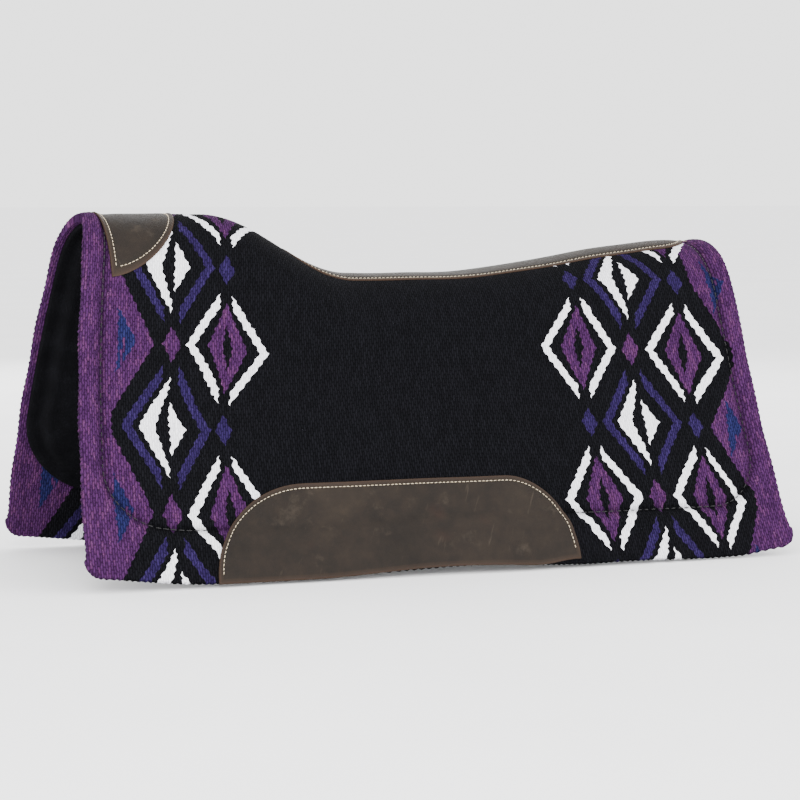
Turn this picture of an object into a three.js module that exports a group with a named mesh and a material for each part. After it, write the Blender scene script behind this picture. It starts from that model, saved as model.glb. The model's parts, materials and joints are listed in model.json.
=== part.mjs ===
// Contoured Western saddle pad, standing over an empty back as an upturned V.
// +X runs from the withers end to the rear, +Y to the right side, +Z up.
// The origin is at the middle of the pad, on the surface that its lower edges stand on.
// The near side of a horse is its left, so the left flap is on -Y.

import * as THREE from 'three';

// ---- Driving dimensions, in millimetres ----

const DEGREE = Math.PI / 180;
const FLANK_ANGLE = 20 * DEGREE;      // each flank's lean from vertical
const FLANK_APEX_HEIGHT = 523;        // where the two outer flank planes would meet
const HINGE_HEIGHT = 225;             // the fold line between the ridge and each flap
const HINGE_SHARE = 0.48;             // the fold line's share of the way from ridge to lower edge

const WITHERS_HEIGHT = 377;           // ridge line at the front
const VALLEY_DROP = 67;               // ridge line from the withers down to the seat
const VALLEY_START = -228;
const VALLEY_END = -62;
const REAR_RISE = 34;                 // ridge line from the seat up to the loin
const REAR_START = 30;
const REAR_END = 350;

const FRONT_EDGE = [-362, -84, 40];   // x of the front edge: constant, linear and square terms
const REAR_EDGE = [383.7, -18, 42];   // the same for the rear edge, over the share from ridge to hem
const FRONT_LIFT = 13;                // the hem's front corners stand this high
const REAR_LIFT = 7;                  // its rear corners this high
const MIDDLE_LIFT = 6;                // and its middle this high, between its two resting places
const HEM_HALF_LENGTH = 406;
const BLANKET_CORNER_RADIUS = 20;

const BLANKET_THICKNESS = 7;
const CORE_THICKNESS = 11;
const LINING_THICKNESS = 4;
const LAYER_GAP = 1.7;                // the layers are only sewn along their rims, so they lie loose
const LEATHER_GAP = 1;
const LINING_INSET = { ends: 30, hem: 56, corner: 58 };
const CORE_INSET = { ends: 30, hem: 66, corner: 52 };

const LEATHER_THICKNESS = 2.6;
const THREAD_HEIGHT = 0.9;
const THREAD_WIDTH = 1.6;
const STITCH_INSET = 6;

const WITHER_LEATHER = { front: -346, length: 83, drop: 105 };
const SPINE_LEATHER = { firstRib: 8, lastRib: 25, halfWidth: 36, endRibs: 1.4 };
const WEAR_LEATHER = { front: -268, rear: 140, top: 97, hemGap: 4, frontRound: 104, rearRound: 78 };

// Half of the slot left open at each fold line, so that a flap can swing inwards
const FOLD_GAP = { blanket: 1.2, core: 3.2, lining: 4 };

// Curved layers share the same ribs across the pad, so that their facets stay parallel.
// The lining and the core start at the first rib in from each end of the blanket.
const RIB_COUNT = 26;
const STEPS_ACROSS = 20;
const LINING_RIB = 1;

// ---- Materials ----

function makeMaterial(color, roughness) {
  return new THREE.MeshStandardMaterial({ color, roughness, metalness: 0 });
}

const PALETTE = {
  wovenWool: [0x4a2f5c, 0.95],
  felt: [0x17171a, 0.98],
  feltCore: [0x6f6c68, 0.98],
  oiledLeather: [0x4b3d31, 0.62],
  thread: [0xd0c1a4, 0.8],
};

function addMesh(parent, name, geometry, finish) {
  const mesh = new THREE.Mesh(geometry, makeMaterial(...PALETTE[finish]));
  mesh.name = name;
  parent.add(mesh);
}

// ---- The pad's section and outline ----

function smoothStep(value, low, high) {
  const share = THREE.MathUtils.clamp((value - low) / (high - low), 0, 1);
  return share * share * (3 - 2 * share);
}

function ridgeHeight(x) {
  const drop = VALLEY_DROP * smoothStep(x, VALLEY_START, VALLEY_END);
  const rise = REAR_RISE * smoothStep(x, REAR_START, REAR_END);
  return WITHERS_HEIGHT - drop + rise;
}

// Radius of the arch that touches both flank planes and the ridge line
function archRadius(x) {
  return (FLANK_APEX_HEIGHT - ridgeHeight(x)) / (1 / Math.sin(FLANK_ANGLE) - 1);
}

// Length along the outer face from the ridge line down to the fold line
function arcToHinge(x) {
  const radius = archRadius(x);
  const tangentHeight = ridgeHeight(x) - radius * (1 - Math.sin(FLANK_ANGLE));
  const straight = (tangentHeight - HINGE_HEIGHT) / Math.cos(FLANK_ANGLE);
  return radius * (Math.PI / 2 - FLANK_ANGLE) + straight;
}

// The point at a signed arc length from the ridge line and a depth below the outer face
function ridgePoint(x, arc, depth) {
  const radius = archRadius(x);
  const archEnd = radius * (Math.PI / 2 - FLANK_ANGLE);
  const turn = Math.min(Math.abs(arc), archEnd) / radius;
  const straight = Math.max(Math.abs(arc) - archEnd, 0);
  const across = (radius - depth) * Math.sin(turn) + straight * Math.sin(FLANK_ANGLE);
  const centreHeight = ridgeHeight(x) - radius;
  const height = centreHeight + (radius - depth) * Math.cos(turn) - straight * Math.cos(FLANK_ANGLE);
  return new THREE.Vector3(x, Math.sign(arc) * across, height);
}

function edgeX(terms, share) {
  return terms[0] + terms[1] * share + terms[2] * share * share;
}

// Height of the hem above the ground: raised corners and a slightly raised middle
function hemHeight(x) {
  const along = x / HEM_HALF_LENGTH;
  const front = FRONT_LIFT * smoothStep(-along, 0.66, 1);
  const rear = REAR_LIFT * smoothStep(along, 0.82, 1);
  const middle = MIDDLE_LIFT * (1 - smoothStep(Math.abs(along), 0, 0.42));
  return front + rear + middle;
}

const hingeAcross = (FLANK_APEX_HEIGHT - HINGE_HEIGHT) * Math.tan(FLANK_ANGLE);

// Distance down the flank from the fold line to a height
function downFlank(height) {
  return (HINGE_HEIGHT - height) / Math.cos(FLANK_ANGLE);
}

const FLAP_DROP = downFlank(FRONT_LIFT);

// ---- Curved pieces over the ridge ----

// Maps a flat block, x along the pad, y across and z up, onto the ridge
function wrapBlock(stepsAlong, stepsAcross, place) {
  const geometry = new THREE.BoxGeometry(1, 1, 1, stepsAlong, stepsAcross, 1);
  const position = geometry.attributes.position;
  for (let i = 0; i < position.count; i += 1) {
    const along = position.getX(i) + 0.5;
    const across = position.getY(i) * 2;
    const point = place(along, across, position.getZ(i) > 0);
    position.setXYZ(i, point.x, point.y, point.z);
  }
  geometry.deleteAttribute('normal');
  geometry.deleteAttribute('uv');
  return geometry;
}

// x of a rib, at a share of the way from the ridge line to the hem
function ribX(rib, share) {
  return THREE.MathUtils.lerp(edgeX(FRONT_EDGE, share), edgeX(REAR_EDGE, share), rib / RIB_COUNT);
}

// x of a rib, at an arc length from the ridge line
function ribXAt(rib, arc) {
  return ribX(rib, HINGE_SHARE * Math.abs(arc) / arcToHinge(ribX(rib, 0)));
}

// One layer of the pad over the ridge, from fold line to fold line
function ridgeLayer(endRib, foldGap, depth, thickness) {
  const lastRib = RIB_COUNT - endRib;
  return wrapBlock(lastRib - endRib, STEPS_ACROSS, (along, across, isTop) => {
    const rib = THREE.MathUtils.lerp(endRib, lastRib, along);
    const x = ribX(rib, Math.abs(across) * HINGE_SHARE);
    const arc = across * (arcToHinge(x) - foldGap);
    return ridgePoint(x, arc, isTop ? depth : depth + thickness);
  });
}

function witherRear(arc) {
  const share = Math.abs(arc) / WITHER_LEATHER.drop;
  return WITHER_LEATHER.front + WITHER_LEATHER.length * Math.sqrt(1 - share * share);
}

// Leather folded over the withers: straight in front, a quarter oval behind
function witherLeather() {
  const tipShare = 0.97;
  return wrapBlock(8, 24, (along, across, isTop) => {
    const arc = WITHER_LEATHER.drop * Math.sin(across * tipShare * Math.PI / 2);
    const x = THREE.MathUtils.lerp(WITHER_LEATHER.front, witherRear(arc), along);
    return ridgePoint(x, arc, isTop ? -LEATHER_GAP - LEATHER_THICKNESS : -LEATHER_GAP);
  });
}

function spineHalfWidth(rib) {
  const toEnd = Math.min(rib - SPINE_LEATHER.firstRib, SPINE_LEATHER.lastRib - rib);
  const share = THREE.MathUtils.clamp(toEnd / SPINE_LEATHER.endRibs, 0.05, 1);
  return SPINE_LEATHER.halfWidth * Math.sqrt(1 - (1 - share) ** 2);
}

function spineLeather() {
  const { firstRib, lastRib } = SPINE_LEATHER;
  return wrapBlock(lastRib - firstRib, 8, (along, across, isTop) => {
    const rib = THREE.MathUtils.lerp(firstRib, lastRib, along);
    const arc = across * spineHalfWidth(rib);
    return ridgePoint(ribXAt(rib, arc), arc, isTop ? -LEATHER_GAP - LEATHER_THICKNESS : -LEATHER_GAP);
  });
}

const THREAD_DEPTH = -2 * LEATHER_GAP - LEATHER_THICKNESS;

// A seam that runs along a path of [x, arc] on the ridge, lying on the leather
function ridgeThread(steps, path) {
  return wrapBlock(steps, 1, (along, across, isTop) => {
    const [x, arc] = path(along);
    const [nextX, nextArc] = path(along + 0.001);
    const [lastX, lastArc] = path(along - 0.001);
    const heading = new THREE.Vector2(nextX - lastX, nextArc - lastArc).normalize();
    const side = across * THREAD_WIDTH / 2;
    const depth = isTop ? THREAD_DEPTH - THREAD_HEIGHT : THREAD_DEPTH;
    return ridgePoint(x - heading.y * side, arc + heading.x * side, depth);
  });
}

// The rear seam of the wither leather, from its left tip over the ridge to its right tip
function witherRearSeam(along) {
  const angle = THREE.MathUtils.lerp(-0.93, 0.93, along) * Math.PI / 2;
  const drop = WITHER_LEATHER.drop - 2 * STITCH_INSET;
  const x = WITHER_LEATHER.front + (WITHER_LEATHER.length - STITCH_INSET) * Math.cos(angle);
  return [x, drop * Math.sin(angle)];
}

function witherFrontSeam(along) {
  const drop = WITHER_LEATHER.drop - 3 * STITCH_INSET;
  return [WITHER_LEATHER.front + STITCH_INSET * 0.8, THREE.MathUtils.lerp(-drop, drop, along)];
}

function spineSeam(side) {
  return (along) => {
    const rib = THREE.MathUtils.lerp(SPINE_LEATHER.firstRib + 1, SPINE_LEATHER.lastRib - 1, along);
    const arc = side * (spineHalfWidth(rib) - STITCH_INSET);
    return [ribXAt(rib, arc), arc];
  };
}

const SPINE_SEAM_STEPS = SPINE_LEATHER.lastRib - SPINE_LEATHER.firstRib - 2;

// ---- Flat pieces of the flaps ----
// Flap outlines are drawn in the flap's plane, x along the pad and y up towards the fold line.

// Points down the front edge, along the hem and up the rear edge
function panelEdge(inset, foldGap) {
  const steps = 10;
  const path = new THREE.Path();
  const top = -foldGap;
  const hemAt = (x) => -downFlank(hemHeight(x)) + inset.hem;
  const frontAt = (y) => edgeX(FRONT_EDGE, shareAt(y)) + inset.ends;
  const rearAt = (y) => edgeX(REAR_EDGE, shareAt(y)) - inset.ends;
  const frontCorner = new THREE.Vector2(frontAt(-FLAP_DROP + inset.hem), 0);
  frontCorner.y = hemAt(frontCorner.x);
  const rearCorner = new THREE.Vector2(rearAt(-FLAP_DROP + inset.hem), 0);
  rearCorner.y = hemAt(rearCorner.x);

  path.moveTo(frontAt(top), top);
  for (let i = 1; i <= steps; i += 1) {
    const y = THREE.MathUtils.lerp(top, frontCorner.y + inset.corner, i / steps);
    path.lineTo(frontAt(y), y);
  }
  const hemStart = frontCorner.x + inset.corner;
  path.quadraticCurveTo(frontCorner.x, frontCorner.y, hemStart, hemAt(hemStart));
  const hemEnd = rearCorner.x - inset.corner;
  for (let i = 1; i <= 2 * steps; i += 1) {
    const x = THREE.MathUtils.lerp(hemStart, hemEnd, i / (2 * steps));
    path.lineTo(x, hemAt(x));
  }
  const rearTurn = rearCorner.y + inset.corner;
  path.quadraticCurveTo(rearCorner.x, rearCorner.y, rearAt(rearTurn), rearTurn);
  for (let i = 1; i <= steps; i += 1) {
    const y = THREE.MathUtils.lerp(rearTurn, top, i / steps);
    path.lineTo(rearAt(y), y);
  }
  return path.getPoints(6);
}

// Share of the way from the ridge to the hem, at a height in the flap's plane
function shareAt(y) {
  return HINGE_SHARE - (1 - HINGE_SHARE) * y / FLAP_DROP;
}

// Points over the wear leather, from its front foot to its rear foot: a flat top between two ovals
function wearEdge(inset) {
  const steps = 12;
  const foot = hemHeight(0) + WEAR_LEATHER.hemGap;
  const centreY = -downFlank(foot);
  const top = -downFlank(WEAR_LEATHER.top) - inset;
  const points = [];
  const ends = [
    [WEAR_LEATHER.front + inset, WEAR_LEATHER.frontRound - inset],
    [WEAR_LEATHER.rear - inset, inset - WEAR_LEATHER.rearRound],
  ];
  ends.forEach(([footX, round], end) => {
    for (let i = 0; i <= steps; i += 1) {
      const angle = (end === 0 ? i : steps - i) / steps * Math.PI / 2;
      const x = footX + round * (1 - Math.cos(angle));
      points.push(new THREE.Vector2(x, THREE.MathUtils.lerp(centreY, top, Math.sin(angle))));
    }
  });
  return points;
}

// A narrow strip between two matching rows of points
function bandShape(outer, inner) {
  return new THREE.Shape([...outer, ...inner.reverse()]);
}

// Extrudes an outline between two depths below the flap's outer face
function flapPlate(side, shape, depth, thickness) {
  const geometry = new THREE.ExtrudeGeometry(shape, { depth: thickness, bevelEnabled: false });
  geometry.translate(0, 0, side < 0 ? -depth - thickness : depth);
  return geometry;
}

function offsetInset(inset, extra) {
  return { ends: inset.ends + extra, hem: inset.hem + extra, corner: inset.corner - extra / 2 };
}

// ---- Assembly ----

const coreDepth = BLANKET_THICKNESS + LAYER_GAP;
const liningDepth = coreDepth + CORE_THICKNESS + LAYER_GAP;

function buildRidge() {
  const ridge = new THREE.Group();
  addMesh(ridge, 'blanket_ridge', ridgeLayer(0, FOLD_GAP.blanket, 0, BLANKET_THICKNESS), 'wovenWool');
  const core = ridgeLayer(LINING_RIB, FOLD_GAP.core, coreDepth, CORE_THICKNESS);
  addMesh(ridge, 'core_ridge', core, 'feltCore');
  const lining = ridgeLayer(LINING_RIB, FOLD_GAP.lining, liningDepth, LINING_THICKNESS);
  addMesh(ridge, 'lining_ridge', lining, 'felt');
  addMesh(ridge, 'wither_leather', witherLeather(), 'oiledLeather');
  addMesh(ridge, 'spine_leather', spineLeather(), 'oiledLeather');
  addMesh(ridge, 'wither_thread_rear', ridgeThread(30, witherRearSeam), 'thread');
  addMesh(ridge, 'wither_thread_front', ridgeThread(20, witherFrontSeam), 'thread');
  addMesh(ridge, 'spine_thread_left', ridgeThread(SPINE_SEAM_STEPS, spineSeam(-1)), 'thread');
  addMesh(ridge, 'spine_thread_right', ridgeThread(SPINE_SEAM_STEPS, spineSeam(1)), 'thread');
  return ridge;
}

function buildFlap(side, label) {
  const flap = new THREE.Group();
  flap.position.set(0, side * hingeAcross, HINGE_HEIGHT);
  flap.rotation.x = Math.PI / 2 + side * FLANK_ANGLE;
  const add = (piece, shape, depth, thickness, finish) => {
    addMesh(flap, `${piece}_${label}`, flapPlate(side, shape, depth, thickness), finish);
  };

  const blanketInset = { ends: 0, hem: 0, corner: BLANKET_CORNER_RADIUS };
  const blanket = new THREE.Shape(panelEdge(blanketInset, FOLD_GAP.blanket));
  add('blanket', blanket, 0, BLANKET_THICKNESS, 'wovenWool');
  const core = new THREE.Shape(panelEdge(CORE_INSET, FOLD_GAP.core));
  add('core', core, coreDepth, CORE_THICKNESS, 'feltCore');
  const lining = new THREE.Shape(panelEdge(LINING_INSET, FOLD_GAP.lining));
  add('lining', lining, liningDepth, LINING_THICKNESS, 'felt');

  const wear = new THREE.Shape(wearEdge(0));
  add('wear_leather', wear, -LEATHER_GAP - LEATHER_THICKNESS, LEATHER_THICKNESS, 'oiledLeather');
  const wearSeam = bandShape(wearEdge(STITCH_INSET), wearEdge(STITCH_INSET + THREAD_WIDTH));
  add('wear_thread', wearSeam, THREAD_DEPTH - THREAD_HEIGHT, THREAD_HEIGHT, 'thread');

  const seamOuter = panelEdge(LINING_INSET, FOLD_GAP.blanket);
  const seamInner = panelEdge(offsetInset(LINING_INSET, THREAD_WIDTH), FOLD_GAP.blanket);
  const quilting = {
    front: (point) => point.x < WEAR_LEATHER.front - LEATHER_GAP,
    rear: (point) => point.x > WEAR_LEATHER.rear + LEATHER_GAP,
  };
  Object.entries(quilting).forEach(([end, isClear]) => {
    const seam = bandShape(seamOuter.filter(isClear), seamInner.filter(isClear));
    add(`quilting_thread_${end}`, seam, -LEATHER_GAP - THREAD_HEIGHT, THREAD_HEIGHT, 'felt');
  });
  return flap;
}

// The hem's inner corner is its lowest line, because the flanks lean
const pad = new THREE.Group();
pad.position.z = BLANKET_THICKNESS * Math.sin(FLANK_ANGLE);
pad.add(buildRidge(), buildFlap(-1, 'left'), buildFlap(1, 'right'));

export default pad;
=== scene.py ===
"""A contoured Western saddle pad: a woven wool blanket over a felt-covered pad, with leather patches.

The pad's surface is described by two cloth coordinates: x along the pad, and the arc length down
from the ridge line. Every soft piece is laid on that surface at its own depth.
"""

import json
import math

import bpy
import numpy as np
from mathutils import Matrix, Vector


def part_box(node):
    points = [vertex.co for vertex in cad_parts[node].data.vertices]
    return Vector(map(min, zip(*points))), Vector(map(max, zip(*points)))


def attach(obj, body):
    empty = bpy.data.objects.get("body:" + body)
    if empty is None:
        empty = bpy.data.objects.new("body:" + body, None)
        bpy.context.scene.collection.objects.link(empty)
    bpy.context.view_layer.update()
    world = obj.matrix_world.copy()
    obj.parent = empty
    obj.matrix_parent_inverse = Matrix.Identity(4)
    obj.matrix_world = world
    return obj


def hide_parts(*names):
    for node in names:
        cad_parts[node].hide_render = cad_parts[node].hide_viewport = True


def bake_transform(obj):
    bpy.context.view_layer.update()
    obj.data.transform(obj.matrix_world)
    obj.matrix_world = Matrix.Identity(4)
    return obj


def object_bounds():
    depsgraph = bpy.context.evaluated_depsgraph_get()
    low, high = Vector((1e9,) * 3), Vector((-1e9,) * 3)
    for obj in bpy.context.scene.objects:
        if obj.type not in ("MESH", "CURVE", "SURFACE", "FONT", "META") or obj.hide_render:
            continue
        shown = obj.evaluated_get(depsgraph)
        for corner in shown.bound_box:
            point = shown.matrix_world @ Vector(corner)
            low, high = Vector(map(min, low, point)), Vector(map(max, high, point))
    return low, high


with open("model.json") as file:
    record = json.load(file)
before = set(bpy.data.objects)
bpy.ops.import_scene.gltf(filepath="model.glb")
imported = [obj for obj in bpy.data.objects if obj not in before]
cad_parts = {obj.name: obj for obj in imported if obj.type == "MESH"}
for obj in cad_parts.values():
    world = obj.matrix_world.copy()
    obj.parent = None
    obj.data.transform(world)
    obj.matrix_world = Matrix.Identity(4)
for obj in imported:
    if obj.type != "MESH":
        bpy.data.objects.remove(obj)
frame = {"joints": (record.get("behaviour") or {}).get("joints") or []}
cad_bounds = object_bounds()

# ---- Driving dimensions, in metres: the pad's section, edges and hem, as the CAD model has them ----

FLANK_ANGLE = math.radians(20)
HINGE_SHARE = 0.48
WITHERS_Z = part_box("blanket_ridge")[1].z
VALLEY_DROP, VALLEY_START, VALLEY_END = 0.067, -0.228, -0.062
REAR_RISE, REAR_START, REAR_END = 0.034, 0.030, 0.350
FRONT_EDGE = (-0.362, -0.084, 0.040)
REAR_EDGE = (0.3837, -0.018, 0.042)
FRONT_LIFT, REAR_LIFT, MIDDLE_LIFT = 0.013, 0.007, 0.006
HEM_HALF_LENGTH = 0.406
BLANKET = 0.007
CLOTH_WIDTH = 0.790

hinge = next(j for j in frame["joints"] if j["child"] == "right_flap")
HINGE_Y, HINGE_Z = abs(hinge["pos_m"][1]), hinge["pos_m"][2]
APEX_Z = HINGE_Z + HINGE_Y / math.tan(FLANK_ANGLE)
HEM_Z = BLANKET * math.sin(FLANK_ANGLE)

# A band of heights about the fold line, above and below the hinge
FOLD_TOP_Z, FOLD_END_Z = HINGE_Z + 0.060, HINGE_Z - 0.062

# The weave: one grain is one float of weft over a pair of warps, in columns staggered by half a grain
GRAIN_COLUMNS = 304
GRAIN_WIDTH = CLOTH_WIDTH / GRAIN_COLUMNS
GRAIN_LENGTH, GRAIN_RELIEF = 0.0088, 0.00034

# The blanket's relief at the seam: a groove, and the border puffed up outside it
GROOVE_DEPTH, GROOVE_WIDTH, BORDER_PUFF = 0.0042, 0.0046, 0.0024

# The yarns' turns at the hem and at the ends make knobs this high, this far apart
KNOB_HEIGHT, KNOB_PITCH = 0.0008, 0.0078

# The felt's grid, and its cloth simulation: a coarser grid, its frames, its pressure and the
# furthest that a point may move
FELT_STEPS, SWELL_STEPS = (168, 86), (84, 42)
SWELL_FRAMES, SWELL_PRESSURE, SWELL_LIMIT = 20, 4.0, 0.004

# The seam that sews the felt-covered pad on, and the felt's flat rim outside it
SEAM = {
    "left": {"ends": 0.025, "hem": 0.059, "corner": 0.060},
    "right": {"ends": 0.025, "hem": 0.084, "corner": 0.072},
}
FLANGE, PAD_RISE = 0.0165, 0.009
FLANGE_THICKNESS, PAD_THICKNESS = 0.0042, 0.0170

LEATHER = 0.0022
WITHER_LEATHER = {"front": -0.347, "length": 0.084, "drop": 0.107}
SPINE_LEATHER = {"front": -0.137, "rear": 0.353, "half_width": 0.036, "end": 0.044}
WEAR_LEATHER = {"front": -0.268, "rear": 0.140, "top": 0.0994,
                "front_round": 0.104, "rear_round": 0.078}
STITCH_INSET = 0.0055

# The leathers on the ridge are sewn down hard, so they sink this far into the wool
SINK = 0.0018

SIDES = {"left": -1, "right": 1}


# ---- The pad's surface ----


def smooth(value, low, high):
    share = np.clip((value - low) / (high - low), 0, 1)
    return share * share * (3 - 2 * share)


def ridge_z(x):
    drop = VALLEY_DROP * smooth(x, VALLEY_START, VALLEY_END)
    rise = REAR_RISE * smooth(x, REAR_START, REAR_END)
    return WITHERS_Z - drop + rise


def arch_radius(x):
    return (APEX_Z - ridge_z(x)) / (1 / math.sin(FLANK_ANGLE) - 1)


def arc_to_hinge(x):
    radius = arch_radius(x)
    tangent_z = ridge_z(x) - radius * (1 - math.sin(FLANK_ANGLE))
    return radius * (math.pi / 2 - FLANK_ANGLE) + (tangent_z - HINGE_Z) / math.cos(FLANK_ANGLE)


def hem_z(x):
    along = x / HEM_HALF_LENGTH
    corners = FRONT_LIFT * smooth(-along, 0.66, 1) + REAR_LIFT * smooth(along, 0.82, 1)
    return HEM_Z + corners + MIDDLE_LIFT * (1 - smooth(np.abs(along), 0, 0.42))


def flap_drop(x):
    """Length of cloth from the fold line to the hem."""
    return (HINGE_Z - hem_z(x)) / math.cos(FLANK_ANGLE)


def arc_to_hem(x):
    return arc_to_hinge(x) + flap_drop(x)


def share_at(x, arc):
    """The share of the way from the ridge line to the hem, with the hinge at HINGE_SHARE."""
    above = HINGE_SHARE * arc / arc_to_hinge(x)
    below = HINGE_SHARE + (1 - HINGE_SHARE) * (arc - arc_to_hinge(x)) / flap_drop(x)
    return np.where(arc < arc_to_hinge(x), above, below)


def edge_x(terms, share):
    """Where an end edge lies, at a share of the way from the ridge line to the hem."""
    return terms[0] + terms[1] * share + terms[2] * share * share


# The soft flaps' waves: how high they are and how long
LONG_SWAY, SHORT_SWAY = (0.0030, 0.47), (0.0014, 0.19)


def sway(x, arc, side):
    """How far the soft flap stands out from its flat plane: long shallow waves that grow downwards."""
    height, length = LONG_SWAY
    long_wave = height * np.sin(2 * math.pi * x / length + 0.9 + 0.6 * side)
    height, length = SHORT_SWAY
    short_wave = height * np.sin(2 * math.pi * x / length + 2.1 * side + 5 * arc)
    return smooth(arc, 0.12, 0.42) * (long_wave + short_wave)


def surface(x, arc, depth, side):
    """Points at cloth coordinates (x, arc) and a depth below the blanket's outer face."""
    x, arc = np.broadcast_arrays(x, arc)
    radius = arch_radius(x)
    arch = radius * (math.pi / 2 - FLANK_ANGLE)
    turn = np.minimum(arc, arch) / radius
    straight = np.maximum(arc - arch, 0)
    reach = radius - depth
    across = (reach + sway(x, arc, side)) * np.sin(turn) + straight * math.sin(FLANK_ANGLE)
    height = ridge_z(x) - radius + reach * np.cos(turn) - straight * math.cos(FLANK_ANGLE)
    return np.stack([x, side * across, height], axis=-1)


def panel(along, down, inset):
    """Cloth coordinates of a grid over one half of the pad, from the ridge line to a rounded lower edge.

    along and down run from 0 to 1. Returns x, arc, the length above the lower edge, and each
    point's distance from the panel's free edges."""
    along, down = np.meshgrid(along, down, indexing="ij")
    x = np.zeros_like(along)
    share = down.copy()
    for _ in range(4):
        front = edge_x(FRONT_EDGE, share) + inset["ends"]
        rear = edge_x(REAR_EDGE, share) - inset["ends"]
        from_front = along * (rear - front)
        from_rear = (1 - along) * (rear - front)
        above = (1 - down) * (arc_to_hem(x) - inset["hem"])
        distance = np.minimum(np.minimum(from_front, from_rear), above)
        near = np.minimum(from_front, from_rear)
        side_part = np.clip(1 - near / inset["corner"], 0, None)
        hem_part = np.clip(1 - above / inset["corner"], 0, None)
        both = (side_part > 0) & (hem_part > 0)
        squeeze = np.where(both, np.maximum(side_part, hem_part), 1)
        squeeze = squeeze / np.where(both, np.hypot(side_part, hem_part), 1)
        moved = inset["corner"] * side_part * (1 - squeeze)
        x = front + from_front + np.where(from_front < from_rear, moved, -moved)
        above = above + inset["corner"] * hem_part * (1 - squeeze)
        arc = arc_to_hem(x) - inset["hem"] - above
        share = share_at(x, arc)
    return x, arc, above + inset["hem"], distance


def seam_distance(x, arc, label):
    """Signed distance from the seam that sews the pad on, negative inside it."""
    seam = SEAM[label]
    share = share_at(x, arc)
    near = np.minimum(x - edge_x(FRONT_EDGE, share), edge_x(REAR_EDGE, share) - x)
    radius = seam["corner"]
    side_part = seam["ends"] + radius - near
    hem_part = seam["hem"] + radius - (arc_to_hem(x) - arc)
    outside = np.hypot(np.maximum(side_part, 0), np.maximum(hem_part, 0))
    return outside + np.minimum(np.maximum(side_part, hem_part), 0) - radius


def graded(count, nominal, ends=(0.0, 0.0005, 0.0013, 0.0024), both=True):
    """Even steps from 0 to 1, with finer ones near the end (or both ends) for a rounded rim."""
    even = np.arange(count + 1) / count
    rim = np.array(ends) / nominal
    inner = even[(even > rim[-1] * 1.3) & (even < 1 - rim[-1] * 1.3)]
    start = rim if both else [0.0]
    return np.concatenate([start, inner, 1 - rim[::-1]])


# ---- Mesh building ----


def add_object(name, data):
    obj = bpy.data.objects.new(name, data)
    bpy.context.scene.collection.objects.link(obj)
    return obj


def quads(corners):
    """A list of faces from four matching arrays of corner numbers."""
    return np.stack(corners, -1).reshape(-1, 4).tolist()


def new_object(name, points, faces, uv=None):
    mesh = bpy.data.meshes.new(name)
    mesh.from_pydata([tuple(p) for p in points], [], faces)
    if uv is not None:
        layer = mesh.uv_layers.new(name="cloth")
        loops = np.zeros(len(mesh.loops), np.int32)
        mesh.loops.foreach_get("vertex_index", loops)
        layer.data.foreach_set("uv", np.asarray(uv, np.float32)[loops].ravel())
    mesh.polygons.foreach_set("use_smooth", np.ones(len(mesh.polygons), bool))
    return add_object(name, mesh)


def face_outwards(obj):
    """Turns the faces of a closed mesh outwards, by the sign of its volume."""
    mesh = obj.data
    mesh.calc_loop_triangles()
    points = np.zeros(len(mesh.vertices) * 3)
    mesh.vertices.foreach_get("co", points)
    triangles = np.zeros(len(mesh.loop_triangles) * 3, np.int32)
    mesh.loop_triangles.foreach_get("vertices", triangles)
    a, b, c = points.reshape(-1, 3)[triangles.reshape(-1, 3)].transpose(1, 0, 2)
    if np.einsum("ij,ij->i", a, np.cross(b, c)).sum() < 0:
        mesh.flip_normals()


def sharpen(obj, angle):
    """Marks the edges that turn more than an angle, so that a cut face doesn't bend the shading."""
    with bpy.context.temp_override(object=obj, active_object=obj, selected_objects=[obj]):
        bpy.ops.object.shade_smooth_by_angle(angle=angle, keep_sharp_edges=True)


def slab(name, outer, inner, uv):
    """A closed sheet between two matching grids of points."""
    rows, columns = outer.shape[:2]
    count = rows * columns
    index = np.arange(count).reshape(rows, columns)
    outer_face = [index[:-1, :-1], index[1:, :-1], index[1:, 1:], index[:-1, 1:]]
    inner_face = [corner + count for corner in reversed(outer_face)]
    rim = np.concatenate([index[:-1, 0], index[-1, :-1], index[:0:-1, -1], index[0, :0:-1]])
    after = np.roll(rim, -1)
    walls = [rim, rim + count, after + count, after]
    faces = quads(outer_face) + quads(inner_face) + quads(walls)
    points = np.concatenate([outer.reshape(-1, 3), inner.reshape(-1, 3)])
    flat_uv = np.asarray(uv).reshape(-1, 2)
    obj = new_object(name, points, faces, np.concatenate([flat_uv, flat_uv]))
    face_outwards(obj)
    return obj


def add_attribute(obj, name, values):
    attribute = obj.data.attributes.new(name, "FLOAT", "POINT")
    attribute.data.foreach_set("value", np.asarray(values, np.float32).ravel())


def rounded(distance, radius):
    """From 0.3 at a free edge to 1 at a rounding radius inside it."""
    share = np.clip(distance / radius, 0, 1)
    return 0.3 + 0.7 * np.sqrt(1 - (1 - share) ** 2)


# ---- Materials ----


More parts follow.
